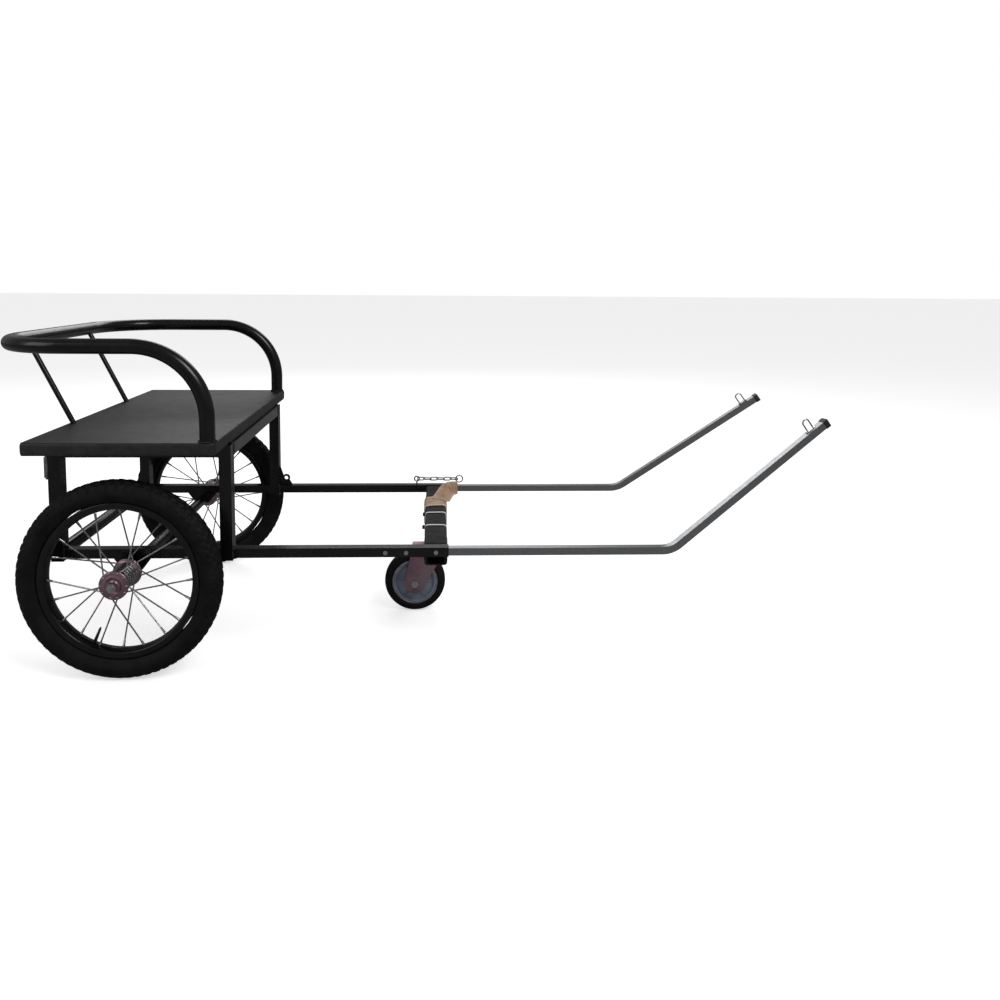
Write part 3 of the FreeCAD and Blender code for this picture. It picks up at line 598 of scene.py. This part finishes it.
def leather_strap():
    """Band round the sleeve, and a tail ruled from flat on the beam to upright at the ring."""
    low, high = (np.array(c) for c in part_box("hitch_strap"))
    width, thick = 0.070, 0.0036
    count = 300
    points, normals = rounded_square(PAD_HALF + 0.0004, 0.4, count)
    points = points + BEAM_MID[[0, 2]]
    profile = strip_profile(thick, width, low[1] + width / 2)
    band = banded(points, normals, profile, across_y)
    t = np.arange(count) / count * TAU
    band[..., 1] += (0.0022 * np.sin(2 * t + 0.4) + 0.0012 * np.sin(5 * t))[:, None]
    band_edge = np.abs(profile[:, 1] - profile[:, 1].mean()) > width / 2 - 0.0012
    edge_band = np.broadcast_to(band_edge[None], band.shape[:2]).astype(float)
    end = np.array([high[0] - 0.0005, high[1] - 0.002, 0.252])
    start = np.array([BEAM_MID[0] + 0.012, low[1] + width / 2, BEAM_MID[2] + PAD_HALF + 0.0042])
    u = np.linspace(0, 1, 60)[:, None]
    middle_line = start + (end - start) * u + np.array([0, 0, 1]) * 0.011 * np.sin(math.pi * u) ** 1.5
    twist = math.pi / 2 * smooth_step(u, 0.15, 0.85)
    direction = (end - start) / np.linalg.norm(end - start)
    flat = np.cross([0, 0, 1.0], direction)
    flat /= np.linalg.norm(flat)
    rise = np.cross(direction, flat)
    across = flat * np.cos(twist) + rise * np.sin(twist)
    out = rise * np.cos(twist) - flat * np.sin(twist)
    half = 0.026 - 0.008 * smooth_step(u, 0.0, 0.7)
    section = softened([(-1, -1), (1, -1), (1, 1), (-1, 1)], 4)
    tail = (middle_line[:, None] + across[:, None] * (section[None, :, :1] * half[:, None])
            + out[:, None] * (section[None, :, 1:] * thick / 2))
    tail_edge = (np.abs(section[:, 0]) > 0.95).astype(float)
    caps = np.array([tail[0].mean(0), tail[-1].mean(0)])
    tail = np.concatenate([np.broadcast_to(caps[0], tail[:1].shape), tail,
                           np.broadcast_to(caps[1], tail[:1].shape)])
    edge_tail = np.broadcast_to(tail_edge[None], tail.shape[:2])
    make_piece("leather_band", [band], "frame", "tan_leather", ["hitch_strap"], edge=edge_band)
    make_piece("leather_tail", [tail], "frame", "tan_leather", closed=(False, True),
               edge=np.ascontiguousarray(edge_tail))
    stitches = []
    for row in (-1, 1):
        for k in np.linspace(0.08, 0.92, 26):
            i = int(k * 59)
            spot = middle_line[i] + across[i] * half[i] * 0.8 * row + out[i] * thick / 2
            step = direction * 0.0011
            path = np.array([spot - step, spot - step * 0.5 + out[i] * 0.0004,
                             spot + step * 0.5 + out[i] * 0.0004, spot + step])
            stitches.append(tube(path, 0.00035, 6))
    make_piece("strap_stitches", stitches, "frame", "white_nylon", closed=(False, True))


def rounded_rectangle(half_x, half_y, corner, per_corner=10, per_side=40):
    """Points and outward normals of a rectangle with round corners, middle at the origin."""
    points, normals = [], []
    centres = [(1, 1), (-1, 1), (-1, -1), (1, -1)]
    for k, (sx, sy) in enumerate(centres):
        a = math.pi / 2 * k + np.linspace(0, math.pi / 2, per_corner)
        n = np.stack([np.cos(a), np.sin(a)], -1)
        points.append(n * corner + [sx * (half_x - corner), sy * (half_y - corner)])
        normals.append(n)
    return np.concatenate(points), np.concatenate(normals)


def board_edging():
    """Half-round plastic edging pressed on round the seat board."""
    mid, size = middle("seat_board"), extent("seat_board")
    points, normals = rounded_rectangle(size[0] / 2 - 0.0005, size[1] / 2 - 0.0005, 0.006)
    points = points + mid[:2]
    h = size[2] / 2
    profile = [(0.0, -h + 0.0004), (0.0, h - 0.0004), (0.0012, h - 0.0008), (0.0021, h - 0.003),
               (0.0026, h * 0.5), (0.0026, -h * 0.5), (0.0021, -h + 0.003), (0.0012, -h + 0.0008)]
    grid = banded(points, normals, softened(profile, 2) + [0, mid[2]], across_z)
    make_piece("board_edging", [grid], "frame", "black_plastic")


def weld_ring(centre, half, axis, bead=0.0019, square=True):
    """Rippled bead round a tube's end: bead radius r (1 + 0.18 cos 46 t)."""
    count = 184
    t = np.linspace(0, TAU, count, endpoint=False)
    if square:
        flat, _ = rounded_square(half, 0.15, count)
    else:
        flat = np.stack([np.cos(t), np.sin(t)], -1) * half
    zero = np.zeros(count)
    order = {"x": (zero, flat[:, 0], flat[:, 1]), "y": (flat[:, 0], zero, flat[:, 1]),
             "z": (flat[:, 0], flat[:, 1], zero)}[axis]
    path = np.stack(order, -1) + np.asarray(centre)
    closed = np.concatenate([path[-1:], path, path[:1]])
    line = tube(closed, 1.0, 10)[1:-1]
    radius = bead * (1 + 0.18 * np.cos(46 * t))
    return path[:, None] + (line - path[:, None]) * radius[:, None, None]


def welds():
    """Beads where the rails meet the legs, where the cross tubes end and under the posts."""
    rings = []
    for side, way in SIDES:
        leg_low, leg_high = (np.array(c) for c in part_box(side + "_front_leg"))
        rear_low, rear_high = (np.array(c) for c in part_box(side + "_rear_leg"))
        rail = middle(side + "_side_rail")
        half = extent(side + "_side_rail")[2] / 2
        top = middle(side + "_seat_rail")
        top_half = extent(side + "_seat_rail")[2] / 2
        for x in (leg_high[0], leg_low[0], rear_high[0]):
            rings.append(weld_ring((x, rail[1], rail[2]), half, "x"))
        for x in (leg_low[0], rear_high[0]):
            rings.append(weld_ring((x, top[1], top[2]), top_half, "x"))
        inner = leg_low[1] if way > 0 else leg_high[1]
        for node in ("front_seat_rail", "rear_seat_rail"):
            mid = middle(node)
            rings.append(weld_ring((mid[0], inner, mid[2]), extent(node)[2] / 2, "y"))
        cross = middle("rear_cross_tube")
        rings.append(weld_ring((cross[0], inner, cross[2]), extent("rear_cross_tube")[2] / 2, "y",
                               square=False))
        back_low = np.array(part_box("backrest_rail")[0])
        back_high = np.array(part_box("backrest_rail")[1])
        post = (back_high[0] - 0.015, way * (back_high[1] - 0.015), back_low[2])
        rings.append(weld_ring((post[0], post[1], post[2] + 0.001), 0.015, "z", 0.0024, False))
    make_piece("weld_beads", rings, "frame", "black_paint")


def hex_heads():
    """Hexagon heads with washers: the caster plate's bolts, seen from below."""
    low, high = (np.array(c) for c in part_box("caster_head"))
    mid, plate_low = (low + high) / 2, high[2] - 0.005
    heads, washers = [], []
    a = np.linspace(0, TAU, 6, endpoint=False)
    for sx in (-1, 1):
        for sy in (-1, 1):
            spot = np.array([mid[0] + sx * 0.013, mid[1] + sy * 0.024, plate_low])
            hexagon = softened(np.stack([np.cos(a), np.sin(a)], -1) * 0.0052, 2)
            scale, drop = (0.0, 0.9, 1.0, 1.0, 0.3), (-0.0034, -0.0034, -0.0029, -0.0010, -0.0008)
            heads.append(np.stack([np.concatenate([hexagon * k, np.full((len(hexagon), 1), d)], 1)
                                   for k, d in zip(scale, drop)]) + spot)
            ring = softened([(0.003, 0.0), (0.003, 0.0010), (0.0062, 0.0010), (0.0062, 0.0)], 2)
            washers.append(upright(turned(ring, spot, 32), spot) - [0, 0, 0.0010])
    make_piece("caster_bolt_heads", heads, "frame", "bright_zinc", closed=(False, True))
    make_piece("caster_washers", washers, "frame", "bright_zinc")


def screw_heads():
    """Domed heads of the screws that hold the board down to the seat rails."""
    board_top = np.array(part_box("seat_board")[1])[2]
    dome = [(0.0001, 0.0021), (0.0022, 0.0019), (0.0042, 0.0012), (0.0052, 0.0002), (0.0052, -0.0002)]
    grids = []
    for x in (middle("front_seat_rail")[0], middle("rear_seat_rail")[0]):
        for y in (-0.15, 0.15):
            spot = np.array([x, y, board_top])
            grids.append(upright(turned(np.array(dome) * [1, -1], spot, 32), spot))
    make_piece("board_screws", grids, "frame", "black_paint", closed=(True, False))


# ---------------------------------------------------------------- floor, light, camera


SKY_LIGHT = 0.34
SKY_REFLECTED = 0.2
FLOOR_GLOW = 0.55          # seen by the camera only, so that the floor is pale and keeps shadows


def white_to_camera(tree, background, seen, lighting):
    """The sky is plain white where it is seen, and dimmer where it lights or is reflected."""
    path = tree.nodes.new("ShaderNodeLightPath")
    level = tree.nodes.new("ShaderNodeMix")
    level.inputs["A"].default_value = lighting
    level.inputs["B"].default_value = SKY_REFLECTED
    tree.links.new(path.outputs["Is Glossy Ray"], level.inputs["Factor"])
    strength = tree.nodes.new("ShaderNodeMix")
    strength.inputs["B"].default_value = seen
    tree.links.new(path.outputs["Is Camera Ray"], strength.inputs["Factor"])
    tree.links.new(level.outputs["Result"], strength.inputs["A"])
    background.inputs["Color"].default_value = (1, 1, 1, 1)
    tree.links.new(strength.outputs["Result"], background.inputs["Strength"])


def floor_material():
    """Pale floor that keeps the shadows, darker where it is mirrored in the paint."""
    mat, tree, shader = new_material("floor", (0.93, 0.93, 0.93), 0.9)
    shader.inputs["Specular IOR Level"].default_value = 0.0
    path = tree.nodes.new("ShaderNodeLightPath")
    mix = tree.nodes.new("ShaderNodeMixRGB")
    mix.inputs["Color1"].default_value = (0.93, 0.93, 0.93, 1)
    mix.inputs["Color2"].default_value = (0.25, 0.25, 0.25, 1)
    tree.links.new(path.outputs["Is Glossy Ray"], mix.inputs["Fac"])
    tree.links.new(mix.outputs["Color"], shader.inputs["Base Color"])
    glow = tree.nodes.new("ShaderNodeMath")
    glow.operation = "MULTIPLY"
    glow.inputs[1].default_value = FLOOR_GLOW
    tree.links.new(path.outputs["Is Camera Ray"], glow.inputs[0])
    shader.inputs["Emission Color"].default_value = (1, 1, 1, 1)
    tree.links.new(glow.outputs["Value"], shader.inputs["Emission Strength"])
    return mat


def stage():
    mesh = bpy.data.meshes.new("floor")
    size = 30.0
    mesh.from_pydata([(-size, -size, 0), (size, -size, 0), (size, size, 0), (-size, size, 0)], [],
                     [(0, 1, 2, 3)])
    mesh.materials.append(floor_material())
    floor = bpy.data.objects.new("floor", mesh)
    bpy.context.collection.objects.link(floor)
    world = bpy.data.worlds.new("studio")
    world.use_nodes = True
    white_to_camera(world.node_tree, world.node_tree.nodes["Background"], 1.0, SKY_LIGHT)
    bpy.context.scene.world = world


def area_light(name, place, aim, size, power):
    data = bpy.data.lights.new(name, "AREA")
    data.shape = "RECTANGLE"
    data.size, data.size_y = size
    data.energy = power
    obj = bpy.data.objects.new(name, data)
    obj.location = place
    obj.rotation_euler = (Vector(aim) - Vector(place)).to_track_quat("-Z", "Y").to_euler()
    bpy.context.collection.objects.link(obj)


def lights():
    area_light("key", (2.4, -2.2, 3.2), (0.5, 0, 0.3), (1.6, 1.6), 60)
    area_light("fill", (-2.6, -2.0, 2.0), (0, 0, 0.4), (2.0, 2.0), 22)
    area_light("back", (0.2, 3.0, 2.6), (0.4, 0, 0.4), (3.0, 1.5), 40)


CAMERA_PLACE = (0.6201, -1.7286, 0.8075)
CAMERA_YAW = 0.032         # radians from +Y towards +X
CAMERA_PITCH = 0.085       # radians below the horizon
CAMERA_ROLL = 0.007
CAMERA_LENS = 26.33
CAMERA_SHIFT = (0.0438, -0.1607)


def camera():
    data = bpy.data.cameras.new("camera")
    data.lens = CAMERA_LENS
    data.sensor_width = 36.0
    data.shift_x, data.shift_y = CAMERA_SHIFT
    yaw, pitch, roll = CAMERA_YAW, CAMERA_PITCH, CAMERA_ROLL
    ahead = Vector((math.sin(yaw) * math.cos(pitch), math.cos(yaw) * math.cos(pitch),
                    -math.sin(pitch)))
    right = Vector((math.cos(yaw), -math.sin(yaw), 0))
    up = right.cross(ahead)
    right, up = (right * math.cos(roll) + up * math.sin(roll),
                 up * math.cos(roll) - right * math.sin(roll))
    obj = bpy.data.objects.new("camera", data)
    obj.matrix_world = Matrix((
        (right.x, up.x, -ahead.x, CAMERA_PLACE[0]), (right.y, up.y, -ahead.y, CAMERA_PLACE[1]),
        (right.z, up.z, -ahead.z, CAMERA_PLACE[2]), (0, 0, 0, 1)))
    bpy.context.collection.objects.link(obj)
    bpy.context.scene.camera = obj
    bpy.context.scene.view_settings.view_transform = "Standard"


# ---------------------------------------------------------------- build

dress_cad_nodes()
tyres()
rims()
hubs()
spoke_fittings()
tyre_valves()
caster()
footrest_pad()
cable_ties()
leather_strap()
board_edging()
welds()
hex_heads()
screw_heads()
stage()
lights()
camera()
